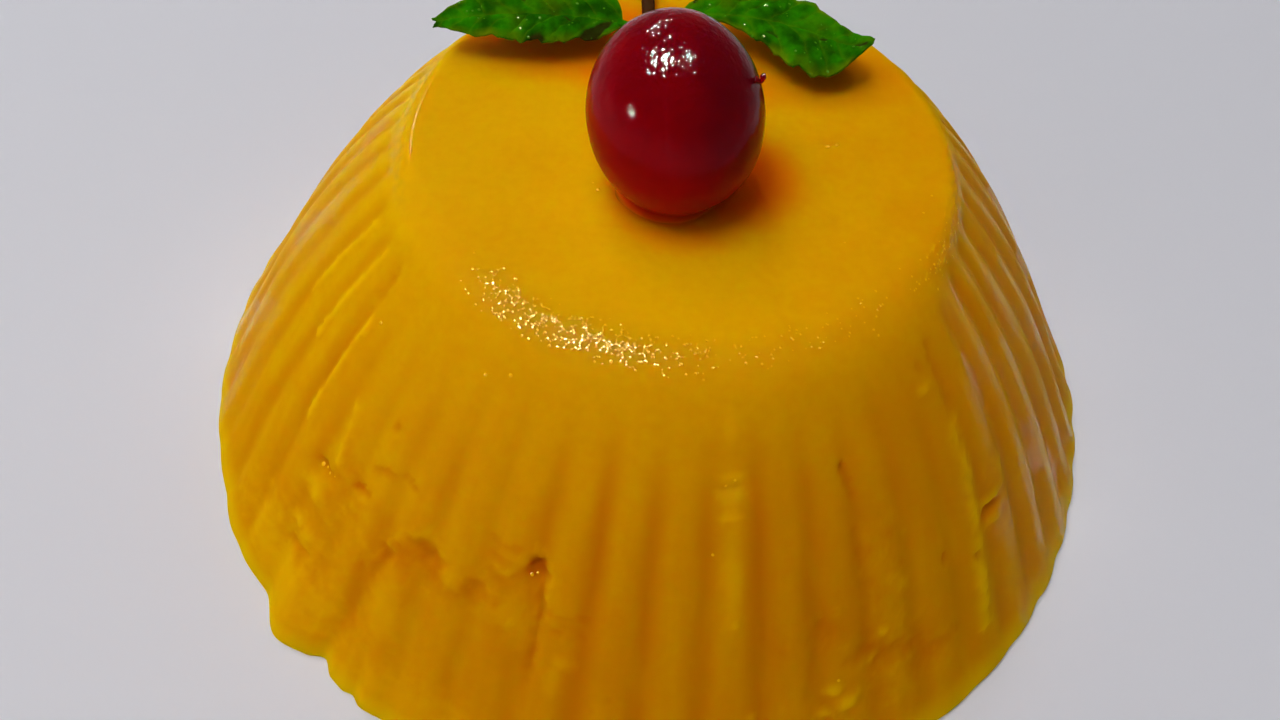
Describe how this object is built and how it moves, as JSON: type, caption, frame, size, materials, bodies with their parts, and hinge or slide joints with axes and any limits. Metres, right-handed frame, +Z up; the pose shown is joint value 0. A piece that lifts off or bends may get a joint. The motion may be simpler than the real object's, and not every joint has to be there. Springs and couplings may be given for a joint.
{
  "type": "mango_pudding",
  "caption": "Mango pudding turned out of a fluted mould, with a syrup cherry and a sprig of mint on its flat top",
  "frame": {"origin": "middle of the pudding's flat underside, which is the plane it stands on", "axes": "+Z up; -Y is the front, the side with the torn patch at its left; +X to the right seen from the front"},
  "size_m": [0.1141, 0.1135, 0.0613],
  "materials": {
    "pudding": "moist satin gel, slightly translucent",
    "cherry": "glossy syrup coat",
    "mint_stem": "matt",
    "mint_leaf": "soft sheen, quilted by veins"
  },
  "bodies": {
    "root": {"pudding": "pudding", "cherry": "cherry", "mint_stem": "mint_stem", "mint_leaf_left": "mint_leaf", "mint_leaf_right": "mint_leaf"}
  },
  "joints": []
}
